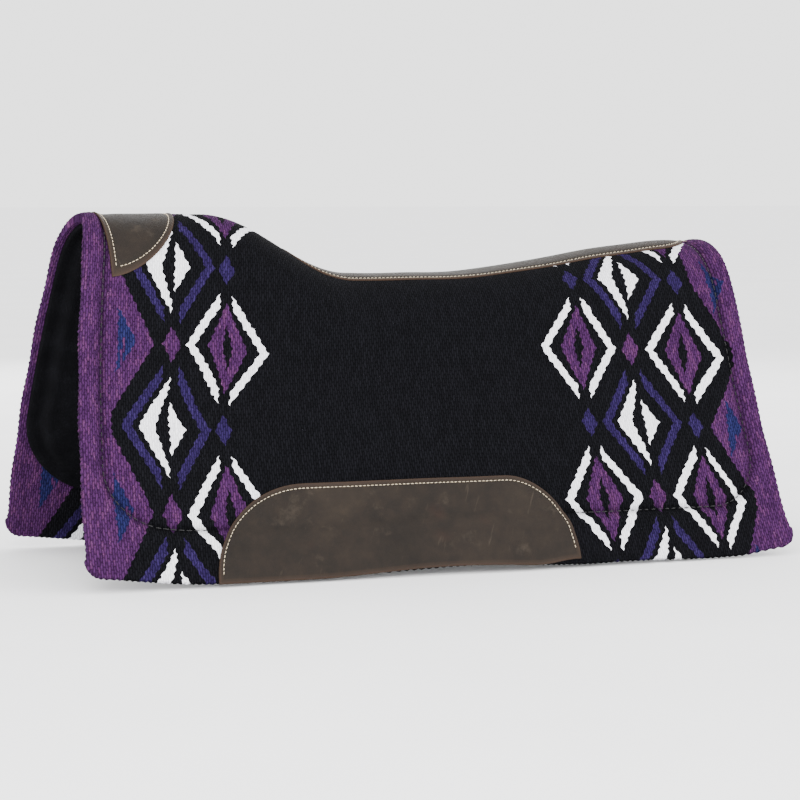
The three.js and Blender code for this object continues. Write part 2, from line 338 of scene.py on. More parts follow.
class Field:
    """A shader value that can be worked on like a number, one Math node for each step."""

    def __init__(self, tree, socket):
        self.tree, self.socket = tree, socket

    def math(self, operation, *others, clamp=False):
        node = self.tree.nodes.new("ShaderNodeMath")
        node.operation, node.use_clamp = operation, clamp
        for slot, value in zip(node.inputs, (self, *others)):
            if isinstance(value, Field):
                self.tree.links.new(value.socket, slot)
            else:
                slot.default_value = value
        return Field(self.tree, node.outputs[0])

    def __add__(self, other):
        return self.math("ADD", other)

    def __sub__(self, other):
        return self.math("SUBTRACT", other)

    def __mul__(self, other):
        return self.math("MULTIPLY", other)

    def __truediv__(self, other):
        return self.math("DIVIDE", other)

    def __lt__(self, other):
        return self.math("LESS_THAN", other)

    def __gt__(self, other):
        return self.math("GREATER_THAN", other)

    def size(self):
        return self.math("ABSOLUTE")

    def floor(self):
        return self.math("FLOOR")

    def least(self, other):
        return self.math("MINIMUM", other)

    def most(self, other):
        return self.math("MAXIMUM", other)

    def flipped(self):
        return self * -1.0 + 1.0

    def smooth(self, low, high):
        node = self.tree.nodes.new("ShaderNodeMapRange")
        node.interpolation_type = "SMOOTHSTEP"
        node.inputs["From Min"].default_value = low
        node.inputs["From Max"].default_value = high
        self.tree.links.new(self.socket, node.inputs["Value"])
        return Field(self.tree, node.outputs["Result"])


class Material:
    """A node material with one Principled shader, and short ways to add the nodes it needs."""

    def __init__(self, name, roughness, sheen=0.0, specular=0.4):
        self.data = bpy.data.materials.new(name)
        self.data.use_nodes = True
        self.tree = self.data.node_tree
        self.shader = self.tree.nodes["Principled BSDF"]
        self.shader.inputs["Roughness"].default_value = roughness
        self.shader.inputs["Specular IOR Level"].default_value = specular
        self.shader.inputs["Sheen Weight"].default_value = sheen
        self.shader.inputs["Sheen Roughness"].default_value = 0.6

    def node(self, kind, **settings):
        node = self.tree.nodes.new(kind)
        for key, value in settings.items():
            setattr(node, key, value)
        return node

    def link(self, source, target):
        self.tree.links.new(source.socket if isinstance(source, Field) else source, target)

    def cloth(self):
        """The cloth coordinates, in metres: along the pad and up from the hem."""
        node = self.node("ShaderNodeUVMap", uv_map="cloth")
        split = self.node("ShaderNodeSeparateXYZ")
        self.link(node.outputs["UV"], split.inputs[0])
        return Field(self.tree, split.outputs["X"]), Field(self.tree, split.outputs["Y"])

    def vector(self, x, y, z=0.0):
        node = self.node("ShaderNodeCombineXYZ")
        for slot, value in zip(node.inputs, (x, y, z)):
            if isinstance(value, Field):
                self.link(value, slot)
            else:
                slot.default_value = value
        return node.outputs[0]

    def position(self):
        return self.node("ShaderNodeTexCoord").outputs["Object"]

    def attribute(self, name):
        node = self.node("ShaderNodeAttribute", attribute_name=name)
        return Field(self.tree, node.outputs["Fac"])

    def noise(self, vector, scale, detail=3.0, roughness=0.55):
        node = self.node("ShaderNodeTexNoise")
        self.link(vector, node.inputs["Vector"])
        node.inputs["Scale"].default_value = scale
        node.inputs["Detail"].default_value = detail
        node.inputs["Roughness"].default_value = roughness
        return Field(self.tree, node.outputs["Fac"])

    def dice(self, vector):
        node = self.node("ShaderNodeTexWhiteNoise", noise_dimensions="3D")
        self.link(vector, node.inputs["Vector"])
        return Field(self.tree, node.outputs["Value"])

    def cells(self, vector, scale):
        node = self.node("ShaderNodeTexVoronoi", feature="DISTANCE_TO_EDGE")
        self.link(vector, node.inputs["Vector"])
        node.inputs["Scale"].default_value = scale
        return Field(self.tree, node.outputs["Distance"])

    def ramp(self, value, stops):
        node = self.node("ShaderNodeValToRGB")
        elements = node.color_ramp.elements
        for _ in stops[2:]:
            elements.new(0.5)
        for element, (place, colour) in zip(elements, stops):
            element.position, element.color = place, (*colour, 1)
        self.link(value, node.inputs[0])
        return node.outputs["Color"]

    def mix(self, share, first, second, mode="MIX"):
        node = self.node("ShaderNodeMix", data_type="RGBA", blend_type=mode)
        for slot, value in ((0, share), (6, first), (7, second)):
            if isinstance(value, tuple):
                node.inputs[slot].default_value = (*value, 1)
            elif isinstance(value, float):
                node.inputs[slot].default_value = value
            else:
                self.link(value, node.inputs[slot])
        return node.outputs[2]

    def colour(self, value):
        self.link(value, self.shader.inputs["Base Color"])

    def roughness(self, value):
        self.link(value, self.shader.inputs["Roughness"])

    def bump(self, height, distance, strength=1.0):
        node = self.node("ShaderNodeBump")
        node.inputs["Strength"].default_value = strength
        node.inputs["Distance"].default_value = distance
        self.link(height, node.inputs["Height"])
        self.link(node.outputs[0], self.shader.inputs["Normal"])


def srgb(red, green, blue):
    """Linear colour from screen values of 0 to 255."""
    channels = [c / 255 for c in (red, green, blue)]
    return tuple(c / 12.92 if c <= 0.04 else ((c + 0.055) / 1.055) ** 2.4 for c in channels)


# The woven design, in metres of cloth. Rows are measured up from the hem.
ROW_HEIGHT, FIRST_ROW = 0.173, 0.073
WHITE_COLUMNS = (0.158, 0.582, 0.711)
INDIGO_COLUMNS = (0.096, 0.646)
FRONT_DARTS, REAR_DARTS = 0.037, 0.752
FIELD_TIP, FIELD_SLOPE, FIELD_EDGE = 0.0195, 0.51, 0.058
LAST_JOINT = FIRST_ROW + 1.5 * ROW_HEIGHT
FRONT_CLIMB, REAR_SINK = (0.005, 0.006), (0.006, 0.012)
FRONT_LEAN, REAR_LEAN, REAR_FLARE = (0.009, 0.003), (0.0085, 0.0075), (0.012, 0.006)

# Half widths and half heights of its diamonds
WHITE_OUTLINE, PURPLE_RING, BLACK_SLOT = (0.046, 0.070), (0.0215, 0.049), (0.0055, 0.026)
INDIGO_BAND, SMALL_INDIGO, PURPLE_NODE = (0.0485, 0.078), (0.0095, 0.0165), (0.0105, 0.0195)
WHITE_CHEVRON, CHEVRON_NOTCH, HALF_DIAMOND = (0.033, 0.057), (0.0155, 0.050), (0.0175, 0.028)
BLUE_DART = (0.0200, 0.036)

# Where an outline's inner edge lies, and how far it stays open at its upper and lower corners
WHITE_INNER, BAND_INNER = 0.79, 0.775
WHITE_GAP, BAND_GAP, CHEVRON_GAP = 0.007, 0.009, 0.003


def diamond(across, up, half_sizes):
    """Less than 1 inside a diamond."""
    return across / half_sizes[0] + up / half_sizes[1]


def hand_drift(along, up):
    """The weaver's rows climb towards the front border and sink towards the rear one.

    The columns lean a few millimetres too, and those of the rear border flare at its outer end."""
    is_rear = along.smooth(0.40, 0.42)
    near_front = along.smooth(0.130, 0.210).flipped()
    near_rear = along.smooth(0.660, 0.760)

    low_climb = up.smooth(0.060, 0.120) * FRONT_CLIMB[0]
    high_climb = up.smooth(0.170, 0.240) * FRONT_CLIMB[1]
    climb = near_front * (low_climb + high_climb)
    inner_sink = along.smooth(0.540, 0.680) * up.smooth(0.100, 0.200) * REAR_SINK[0]
    sink = inner_sink + near_rear * REAR_SINK[1]

    front_lean = (up.smooth(0.170, 0.250) * FRONT_LEAN[0] - FRONT_LEAN[1]) * is_rear.flipped()
    rear_lean = (up.smooth(0.200, 0.340) * REAR_LEAN[0] - REAR_LEAN[1]) * is_rear
    flare = up.smooth(0.100, 0.220) * REAR_FLARE[0] - REAR_FLARE[1]
    flare = flare * up.smooth(0.270, 0.340).flipped()
    rear_lean = rear_lean + along.smooth(0.700, 0.757) * flare
    return along - front_lean - rear_lean, up - climb + sink


def dart(along, from_row, start):
    """A blue dart: straight on its front side and pointed behind."""
    from_start = along - start
    return (diamond(from_start, from_row, BLUE_DART) < 1.0) * (from_start > 0.0)


def woven_design(along, up):
    """Masks of the woven design at each place in the cloth."""
    along, up = hand_drift(along, up)
    row = (up - FIRST_ROW) / ROW_HEIGHT
    from_row = (row - (row + 0.5).floor()).size() * ROW_HEIGHT
    from_joint = from_row * -1.0 + ROW_HEIGHT / 2

    from_white, *others = [(along - column).size() for column in WHITE_COLUMNS]
    for other in others:
        from_white = from_white.least(other)
    is_rear = along > 0.4
    beside = along - INDIGO_COLUMNS[0] - is_rear * (INDIGO_COLUMNS[1] - INDIGO_COLUMNS[0])
    from_indigo = beside.size()

    outline = diamond(from_white, from_row, WHITE_OUTLINE)
    white = (outline < 1.0) * (outline > WHITE_INNER) * (from_white > WHITE_GAP)
    slot = diamond(from_white, from_row, BLACK_SLOT) < 1.0
    ring = (diamond(from_white, from_row, PURPLE_RING) < 1.0) * slot.flipped()
    small_indigo = diamond(from_white, from_joint, SMALL_INDIGO) < 1.0

    band_shape = diamond(from_indigo, from_joint, INDIGO_BAND)
    band = (band_shape < 1.0) * (band_shape > BAND_INNER) * (from_indigo > BAND_GAP)
    node = diamond(from_indigo, from_row, PURPLE_NODE) < 1.0
    within = beside - CHEVRON_GAP
    chevron = (diamond(within.size(), from_joint, WHITE_CHEVRON) < 1.0) * (within < -CHEVRON_GAP)
    chevron = chevron * (diamond(within.size(), from_joint, CHEVRON_NOTCH) > 1.0)
    half = (diamond(within.size(), from_joint, HALF_DIAMOND) < 1.0) * (within > 0.0)

    front_edge = (from_row * FIELD_SLOPE + FIELD_TIP).least(FIELD_EDGE)
    front_field = (beside * -1.0 > front_edge) * is_rear.flipped()
    rear_edge = (from_joint * (up < LAST_JOINT) * FIELD_SLOPE + FIELD_TIP).least(FIELD_EDGE)
    rear_field = ((along - WHITE_COLUMNS[-1]) > rear_edge) * is_rear
    darts = dart(along, from_row, FRONT_DARTS).most(dart(along, from_joint, REAR_DARTS))
    return {
        "purple": front_field.most(rear_field).most(ring).most(node),
        "indigo": band.most(small_indigo),
        "blue": darts,
        "white": white.most(chevron).most(half),
    }


# Yarn colours of the wool, from its darkest strands to its lightest
WOOL = {
    "black": ((0.2, (9, 9, 11)), (0.8, (21, 21, 25))),
    "purple": ((0.24, (31, 15, 37)), (0.42, (58, 29, 66)), (0.56, (70, 38, 79)),
               (0.64, (75, 36, 70)), (0.80, (112, 82, 120))),
    "indigo": ((0.2, (26, 18, 46)), (0.6, (42, 31, 71)), (0.9, (66, 54, 99))),
    "blue": ((0.2, (22, 22, 52)), (0.6, (33, 35, 76)), (0.9, (56, 55, 100))),
    "white": ((0.15, (212, 210, 217)), (0.5, (241, 240, 246)), (0.85, (253, 252, 255))),
}


def woven_wool():
    """Grains of weft in staggered columns, coloured by the woven design."""
    mat = Material("woven_wool", 1.0, sheen=0.0, specular=0.03)
    along, up = mat.cloth()

    # Hand-spun yarn doesn't lie in perfect rows, so each grain wanders by part of its own size
    wander = mat.noise(mat.vector(along, up), 150.0, 2.0) - 0.5
    slip = mat.noise(mat.vector(along, up, 9.0), 110.0, 2.0) - 0.5
    across_yarns = along / GRAIN_WIDTH + wander * 1.1 + 0.5
    column = across_yarns.floor()
    stagger = column.math("MODULO", 2.0).size() * 0.5
    along_yarns = up / GRAIN_LENGTH + slip * 0.9 + stagger
    row = along_yarns.floor()
    chance = mat.dice(mat.vector(column, row))
    other_chance = mat.dice(mat.vector(row, column, 7.0))

    # How far across and along its own grain each point is, from -1 to 1
    across = (across_yarns - column) * 2.0 - 1.0
    lengthwise = (along_yarns - row) * 2.0 - 1.0
    ends = lengthwise * lengthwise * lengthwise * lengthwise
    crown = (across * across).flipped() * ends.flipped()

    # Each pass of weft rounds the edges of the design a little
    waver = mat.noise(mat.vector(along, up), 70.0, 2.0) - 0.5
    passes = (up * (2 * math.pi / GRAIN_LENGTH) + waver * 9.0).math("SINE")
    masks = woven_design(along + passes * 0.0009 + waver * 0.0035, up + waver * 0.004)

    # Strands run along each grain, and its sides and ends lie in shade
    strand = mat.noise(mat.vector(along * 1.6, up * 0.5), 900.0, 2.0, 0.7)
    blended = chance * 0.26 + strand * 0.74
    shades = {}
    for name, stops in WOOL.items():
        shades[name] = mat.ramp(blended, [(place, srgb(*colour)) for place, colour in stops])
    colour = mat.mix(masks["purple"], shades["black"], shades["purple"])
    colour = mat.mix(masks["blue"] * (other_chance < 0.9), colour, shades["blue"])
    colour = mat.mix(masks["indigo"], colour, shades["indigo"])
    colour = mat.mix(masks["white"], colour, shades["white"])
    depth = masks["white"] * -0.42 + 0.68
    # Painted shade darkens the wool along the quilting groove, read from the attribute "seam"
    groove_shade = mat.attribute("seam") * -0.62 + 1.0
    shade = (crown * depth + depth.flipped()) * groove_shade
    mat.colour(mat.mix(1.0, colour, mat.vector(shade, shade, shade), mode="MULTIPLY"))
    mat.bump(crown * 0.7 + strand * 0.3, 0.0012, 0.8)
    return mat.data


def black_felt():
    """Pressed wool felt, with lint on it and a cloudy nap."""
    mat = Material("black_felt", 1.0, sheen=0.0, specular=0.03)
    place = mat.position()
    lint = mat.noise(place, 700.0, 4.0, 0.75)
    cloud = mat.noise(place, 35.0, 3.0)
    mat.colour(mat.ramp(lint * 0.7 + cloud * 0.3, [
        (0.30, srgb(6, 6, 7)), (0.52, srgb(11, 11, 13)), (0.72, srgb(24, 24, 28)),
    ]))
    mat.bump(lint * 0.8 + cloud * 0.2, 0.0009, 0.7)
    return mat.data


def oiled_leather():
    """Dark oiled leather: cloudy, worn paler in places, scratched, with pores and a lighter cut edge."""
    mat = Material("oiled_leather", 0.6, specular=0.12)
    place = mat.position()
    along, up = mat.cloth()
    cloud = mat.noise(place, 11.0, 5.0, 0.6)
    mottle = mat.noise(place, 60.0, 5.0, 0.7)
    worn = mat.noise(place, 26.0, 6.0, 0.72).smooth(0.56, 0.70)
    streaks = mat.vector(along * 5.0 + up * 2.0, up * 0.6, 0.3)
    scratch = mat.noise(streaks, 30.0, 3.0, 0.6).smooth(0.64, 0.72)
    redder = mat.noise(mat.vector(along, up, 4.0), 16.0, 2.0).smooth(0.60, 0.74)
    pores = mat.cells(place, 620.0)
    fine = mat.noise(place, 420.0, 3.0, 0.6)
    colour = mat.ramp(cloud * 0.5 + mottle * 0.5, [
        (0.30, srgb(19, 15, 13)), (0.46, srgb(28, 23, 19)),
        (0.60, srgb(35, 29, 24)), (0.76, srgb(47, 39, 31)),
    ])
    colour = mat.mix(redder * 0.35, colour, srgb(42, 26, 22))
    colour = mat.mix(worn * 0.20, colour, srgb(74, 65, 55))
    colour = mat.mix(scratch * 0.18, colour, srgb(88, 78, 66))
    rim = mat.attribute("rim")
    colour = mat.mix(rim * 0.8, colour, srgb(58, 44, 35))
    mat.colour(colour)
    mat.roughness(mottle * 0.24 + fine * 0.12 + 0.50)
    mat.bump(pores.least(0.25) * 1.4 + fine * 0.4 + mottle * 0.6, 0.0006, 0.6)
    return mat.data


def thread(name, dark, light):
    """Twisted thread, a little fuzzy."""
    mat = Material(name, 0.7, sheen=0.1, specular=0.3)
    along, around = mat.cloth()
    twist = (along * 5200.0 + around * 6.2832).math("SINE")
    fuzz = mat.noise(mat.position(), 900.0, 2.0)
    mat.colour(mat.ramp(twist * 0.2 + fuzz * 0.6 + 0.2, [(0.25, dark), (0.75, light)]))
    mat.bump(twist * 0.7 + fuzz * 0.3, 0.0003, 0.8)
    return mat.data


def studio_floor():
    mat = Material("studio_floor", 1.0, specular=0.0)
    speck = mat.noise(mat.position(), 3.0, 2.0)
    mat.colour(mat.ramp(speck, [(0.3, srgb(246, 246, 247)), (0.7, srgb(250, 250, 251))]))
    return mat.data


# ---- Pieces ----

materials = {
    "woven_wool": woven_wool(),
    "felt_lining": black_felt(),
    "oiled_leather": oiled_leather(),
    "cream_thread": thread("cream_thread", srgb(150, 132, 104), srgb(222, 208, 182)),
    "black_thread": thread("black_thread", srgb(5, 5, 6), srgb(14, 12, 16)),
}


def finish_piece(obj, slot_name, *nodes):
    """Gives a piece its material and slot, and hides the CAD nodes that it replaces."""
    obj.data.materials.append(materials[slot_name])
    if nodes:
        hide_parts(*nodes)
    return obj


def bend_with_flap(obj, label):
    """Bakes the piece's placement into its mesh; the cloth over the fold line isn't bent."""
    side = SIDES[label]
    down = (0, side * math.sin(FLANK_ANGLE), -math.cos(FLANK_ANGLE))
    start_length = (HINGE_Z - FOLD_TOP_Z) / math.cos(FLANK_ANGLE)
    end_length = (HINGE_Z - FOLD_END_Z) / math.cos(FLANK_ANGLE)
    pivot = np.array([0, side * HINGE_Y, HINGE_Z])
    start = pivot + np.array(down) * start_length
    end = pivot + np.array(down) * end_length
    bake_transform(obj)


def wither_length(share):
    """Length of the leather over the withers, as a share of its greatest, down from the ridge line."""
    return (1 - np.clip(np.abs(share), 0, 1) ** 2.2) ** 0.62


def ridge_cover(x, arc):
    """1 well under the leathers on the ridge, fading to 0 a little outside their edges.

    Below the wither leather's tip a narrow band along its front line stays half covered."""
    length = WITHER_LEATHER["length"] * wither_length(arc / WITHER_LEATHER["drop"])
    front = WITHER_LEATHER["front"]
    to_wither_edge = np.minimum(x - front, front + length - x)
    to_end = np.minimum(x - SPINE_LEATHER["front"], SPINE_LEATHER["rear"] - x)
    end_part = np.clip(1 - to_end / SPINE_LEATHER["end"], 0, None)
    half_width = SPINE_LEATHER["half_width"]
    to_spine_edge = (1 - np.hypot(end_part, arc / half_width)) * half_width
    return smooth(np.maximum(to_wither_edge, to_spine_edge), -0.004, 0.004)


def blanket_swell(x, arc, label):
    """The blanket's soft relief: a puffed border outside the seam, and a little slack."""
    seam = seam_distance(x, arc, label)
    border = np.clip(seam / SEAM[label]["ends"], 0, 0.9)
    puff = BORDER_PUFF * np.sin(math.pi * border) + 0.0009 * (1 - np.exp(-(seam / 0.012) ** 2))
    slack = 0.0006 * np.sin(23 * x + 31 * arc) * np.sin(41 * x - 17 * arc + 1.3)
    return puff + slack - SINK * ridge_cover(x, arc)


def wear_cover(x, arc):
    """1 under the wear leather, fading to 0 a little outside it."""
    above = arc_to_hem(x) - arc
    front, rear = WEAR_LEATHER["front"] + 0.012, WEAR_LEATHER["rear"] - 0.008
    top, fade = 0.100, 0.020
    ends = smooth(x, front - fade, front) * (1 - smooth(x, rear, rear + fade))
    return ends * (1 - smooth(above, top, top + 0.015))


def blanket_relief(x, arc, above, column, label):
    """How far the woven face stands out: grains and quilting grooves on the soft relief."""
    grain = np.cos(math.pi * (above / GRAIN_LENGTH + 0.5 * (column % 2))) ** 2
    groove = np.exp(-np.abs(seam_distance(x, arc, label) / GROOVE_WIDTH) ** 1.4)
    groove = groove * (1 - 0.8 * wear_cover(x, arc))
    return GRAIN_RELIEF * grain - GROOVE_DEPTH * groove + blanket_swell(x, arc, label)


def woven_blanket(label):
    """Half of the blanket, from the ridge line to one hem."""
    side = SIDES[label]
    along = graded(GRAIN_COLUMNS, CLOTH_WIDTH)
    down = graded(148, 0.42, both=False)
    x, arc, above, distance = panel(along, down, {"ends": 0.0, "hem": 0.0, "corner": 0.018})
    column = np.round(along * GRAIN_COLUMNS).astype(int)[:, None] + np.zeros_like(x, int)

    near_edge = np.exp(-distance / 0.006)
    knobs = KNOB_HEIGHT * near_edge * (np.cos(2 * math.pi * (x + 1.7 * arc) / KNOB_PITCH) - 1)
    drift = 0.0007 * near_edge * (np.sin(37 * x + 3) + np.sin(71 * arc + 11 * x) - 2)
    at_ends = np.where((np.abs(x) > 0.34) & (above > 0.02), np.sign(x), 0)
    x = x + at_ends * (knobs + drift)
    arc = arc + (above < 0.03) * (knobs + drift)

    relief = blanket_relief(x, arc, above, column, label)
    half = BLANKET / 2
    outer_depth = half - half * rounded(distance, half) - relief
    inner_depth = half + half * rounded(distance, half) + 0.4 * GRAIN_RELIEF
    share = share_at(x, arc)
    front, rear = edge_x(FRONT_EDGE, share), edge_x(REAR_EDGE, share)
    uv = np.stack([(x - front) / (rear - front) * CLOTH_WIDTH, above], -1)
    outer, inner = surface(x, arc, outer_depth, side), surface(x, arc, inner_depth, side)
    obj = slab(f"woven_blanket_{label}", outer, inner, uv)
    sharpen(obj, math.radians(50))
    # How much painted shade the wool gets along the quilting groove, kept as the attribute "seam"; none
    # on the inner face
    painted_groove_shade = np.exp(-np.abs(seam_distance(x, arc, label) / 0.0027) ** 1.5).ravel()
    add_attribute(obj, "seam", np.concatenate([painted_groove_shade, 0 * painted_groove_shade]))
    shared = ["blanket_ridge"] if label == "left" else []
    finish_piece(obj, "woven_wool", f"blanket_{label}", *shared)
    bend_with_flap(obj, label)
    return obj


def felt_shape(label, steps_along, steps_down):
    """Grids of the felt-covered pad: its two faces, and how free each point of the lower one is."""
    side = SIDES[label]
    seam = SEAM[label]
    inset = {
        "ends": seam["ends"] - FLANGE,
        "hem": seam["hem"] - FLANGE,
        "corner": seam["corner"] + 0.012,
    }
    grid = graded(steps_along, 0.76), graded(steps_down, 0.37, both=False)
    x, arc, above, distance = panel(*grid, inset)
    lift = np.clip((distance - FLANGE) / PAD_RISE, 0, 1)
    lift = np.sqrt(1 - (1 - lift) ** 2)
    crease = 0.0030 * np.exp(-((distance - FLANGE + 0.0012) / 0.0020) ** 2)
    quilt = 0.0006 * np.sin(19 * x + 4 * arc) * np.sin(29 * arc - 6 * x)
    thickness = FLANGE_THICKNESS + (PAD_THICKNESS - FLANGE_THICKNESS) * lift - crease
    top = BLANKET + 0.0005 + 0.0005 * (1 - rounded(distance, 0.0016))
    bottom = BLANKET + 0.0006 + thickness * rounded(distance, 0.0022) + quilt * lift
    faces = surface(x, arc, top, side), surface(x, arc, bottom, side)
    return grid, np.stack([x, above], -1), faces, lift * smooth(arc, 0.002, 0.05)


def inflate(label):
    """How far the felt's lower face swells, by a cloth simulation on a coarser grid."""
    grid, uv, (top, bottom), freedom = felt_shape(label, *SWELL_STEPS)
    obj = slab("felt_form", top, bottom, uv)
    held = obj.vertex_groups.new(name="held")
    weights = np.concatenate([np.ones(freedom.size), 1 - freedom.ravel()])
    for index, weight in enumerate(weights):
        held.add([index], float(weight), "REPLACE")
    cloth = obj.modifiers.new("swell", "CLOTH")
    settings = cloth.settings
    settings.vertex_group_mass = "held"
    settings.pin_stiffness = 1.0
    settings.quality = 5
    settings.use_pressure = True
    settings.uniform_pressure_force = SWELL_PRESSURE
    settings.tension_stiffness = settings.compression_stiffness = 18.0
    settings.bending_stiffness = 0.6
    settings.effector_weights.gravity = 0.0
    cloth.point_cache.frame_start, cloth.point_cache.frame_end = 1, SWELL_FRAMES
    scene = bpy.context.scene
    for step in range(1, SWELL_FRAMES + 1):
        scene.frame_set(step)
    shape = obj.evaluated_get(bpy.context.evaluated_depsgraph_get()).to_mesh()
    points = np.zeros(len(shape.vertices) * 3)
    shape.vertices.foreach_get("co", points)
    moved = points.reshape(-1, 3)[freedom.size:].reshape(bottom.shape) - bottom
    scene.frame_set(1)
    bpy.data.objects.remove(obj)
    length = np.linalg.norm(moved, axis=-1, keepdims=True)
    return grid, moved * np.minimum(1, SWELL_LIMIT / np.maximum(length, 1e-9))


def resample(values, grid, finer):
    """Values of a coarse grid at the places of a finer one."""
    (along, down), (fine_along, fine_down) = grid, finer
    rows = np.stack([
        [np.interp(fine_along, along, values[:, j, k]) for j in range(len(down))] for k in range(3)
    ], -1)
    columns = [
        [np.interp(fine_down, down, rows[:, i, k]) for i in range(len(fine_along))] for k in range(3)
    ]
    return np.stack(columns, -1)


def felt_lining(label):
    """The felt-covered pad under one flap: a flat sewn rim around a raised, swollen middle."""
    finer, uv, (top, bottom), _ = felt_shape(label, *FELT_STEPS)
    grid, moved = inflate(label)
    bottom = bottom + resample(moved, grid, finer)
    obj = slab(f"felt_lining_{label}", top, bottom, uv)
    sharpen(obj, math.radians(60))
    shared = ["core_ridge", "lining_ridge"] if label == "left" else []
    finish_piece(obj, "felt_lining", f"core_{label}", f"lining_{label}", *shared)
    bend_with_flap(obj, label)
    return obj


def leather_height(x, arc, inset, sewn):
    """Height of the leather over the blanket, with a rounded cut edge and a dent under its seam."""
    dent = 0.0009 * np.exp(-((inset - STITCH_INSET) / 0.0017) ** 2) * sewn
    swell = 0.0004 * np.clip(inset / 0.012, 0, 1)
    uneven = 0.0003 * np.sin(47 * x + 20 * arc) * np.sin(63 * arc - 30 * x)
    return LEATHER * rounded(inset, 0.0014) - dent + swell + uneven + 0.0003


def side_of(arc, side):
    """The side of each place in the cloth, where side is 0 on a patch that crosses the ridge line."""
    return side if side else np.where(arc < 0, -1, 1)


def on_blanket(x, arc, height, side):
    """Height over the nominal surface of a point at a height over the blanket's soft relief."""
    label = "right" if side > 0 else "left"
    return height + blanket_swell(x, np.abs(arc), label)


def place_leather(x, arc, height, side):
    return surface(x, np.abs(arc), -on_blanket(x, arc, height, side), side_of(arc, side))


# A patch's nested outlines, as distances from its cut edge: close at the edge and round the stitching
OUTLINES = np.array([
    0, 0.0004, 0.0010, 0.0018, 0.0030, 0.0042, STITCH_INSET, 0.0068, 0.0082, 0.0100, 0.0130,
])


def leather_patch(name, rows, side, fill_steps, sewn_below, nodes):
    """A patch made of nested outlines, so that its cut edge and its seam are even all round.

    rows(inset) gives two matching rows of cloth coordinates, one for each long side.
    side is 0 for a patch that crosses the ridge line."""
    loops = [rows(inset) for inset in OUTLINES]
    half = loops[0][0].shape[1]
    ring = np.stack([np.concatenate([upper, lower[:, ::-1]], axis=1) for upper, lower in loops])
    sewn = np.concatenate([np.ones(half), np.full(half, float(sewn_below))])
    upper, lower = loops[-1]
    share = (np.arange(1, fill_steps) / fill_steps)[:, None, None]
    middle = (upper[None] * (1 - share) + lower[None] * share)[:, :, 1:-1]

    x = np.concatenate([ring[:, 0].ravel(), middle[:, 0].ravel()])
    arc = np.concatenate([ring[:, 1].ravel(), middle[:, 1].ravel()])
    inset = np.concatenate([np.repeat(OUTLINES, 2 * half), np.full(middle[:, 0].size, 0.02)])
    sewn = np.concatenate([np.tile(sewn, len(OUTLINES)), np.zeros(middle[:, 0].size)])
    outer = place_leather(x, arc, leather_height(x, arc, inset, sewn), side)
    inner = place_leather(x, arc, np.full_like(x, -0.0006), side)

    index = np.arange(len(OUTLINES) * 2 * half).reshape(len(OUTLINES), 2 * half)
    after = np.roll(index, -1, axis=1)
    sheet = quads([index[:-1], after[:-1], after[1:], index[1:]])
    inside = index.size + np.arange(middle[:, 0].size).reshape(fill_steps - 1, half - 2)
    top, low = index[-1, :half], index[-1, half:][::-1]
    grid = np.concatenate([top[None, 1:-1], inside, low[None, 1:-1]])
    sheet += quads([grid[:-1, :-1], grid[:-1, 1:], grid[1:, 1:], grid[1:, :-1]])
    sheet.append([int(top[0]), *grid[:, 0].tolist(), int(low[0])])
    sheet.append([int(low[-1]), *grid[::-1, -1].tolist(), int(top[-1])])
    under = [[point + len(x) for point in reversed(face)] for face in sheet]
    walls = quads([index[0], index[0] + len(x), after[0] + len(x), after[0]])
    points = np.concatenate([outer, inner])
    uv = np.tile(np.stack([x, arc], -1), (2, 1))
    obj = new_object(name, points, sheet + under + walls, uv)
    face_outwards(obj)
    rim = np.exp(-inset / 0.0011) + 0.22 * (inset < STITCH_INSET - 0.0008)
    add_attribute(obj, "rim", np.concatenate([rim, np.ones_like(rim)]))
    return finish_piece(obj, "oiled_leather", *nodes)


def wither_rows(inset, steps=110):
    """Front row and rear row of the leather over the withers, from left tip to right tip."""
    drop = WITHER_LEATHER["drop"] - 2.0 * inset
    nearly_right_angle = math.radians(88.3)
    share = np.sin(np.linspace(-1, 1, steps) * nearly_right_angle)
    front = WITHER_LEATHER["front"] + inset
    width = (WITHER_LEATHER["length"] - 2 * inset) * wither_length(share)
    return np.stack([np.full_like(share, front), drop * share]), np.stack([front + width, drop * share])


def spine_rows(inset, steps=170):
    """Left row and right row of the leather along the ridge, from front to rear."""
    front, rear = SPINE_LEATHER["front"] + inset, SPINE_LEATHER["rear"] - inset
    share = (1 - np.cos(np.linspace(0, 1, steps) * math.pi)) / 2
    x = front + share * (rear - front)
    to_end = np.clip(np.minimum(x - front, rear - x) / (SPINE_LEATHER["end"] - inset), 0.003, 1)
    width = (SPINE_LEATHER["half_width"] - inset) * np.sqrt(1 - (1 - to_end) ** 2)
    return np.stack([x, -width]), np.stack([x, width])


def wear_foot(x, inset):
    """How far the wear leather's lower edge stays above the hem: it rises at its rear end."""
    return 0.0004 + 0.0065 * smooth(x, 0.085, 0.140) + inset


def wear_rows(inset, steps=60):
    """Upper row and lower row of the D-shaped patch, from front foot to rear foot."""
    angle = np.linspace(math.radians(2), math.pi / 2, steps)
    front, rear = WEAR_LEATHER["front"] + inset, WEAR_LEATHER["rear"] - inset
    front_x = front + (WEAR_LEATHER["front_round"] - inset) * (1 - np.cos(angle))
    rear_x = rear - (WEAR_LEATHER["rear_round"] - inset) * (1 - np.cos(angle[::-1]))
    flat_x = np.linspace(front_x[-1], rear_x[0], steps)[1:-1]
    x = np.concatenate([front_x, flat_x, rear_x])
    rise = np.concatenate([np.sin(angle), np.ones(steps - 2), np.sin(angle[::-1])])
    foot = wear_foot(x, inset)
    top = (WEAR_LEATHER["top"] - hem_z(x)) / math.cos(FLANK_ANGLE) - inset
    hem = arc_to_hem(x)
    return np.stack([x, hem - foot - rise * (top - foot)]), np.stack([x, hem - foot])


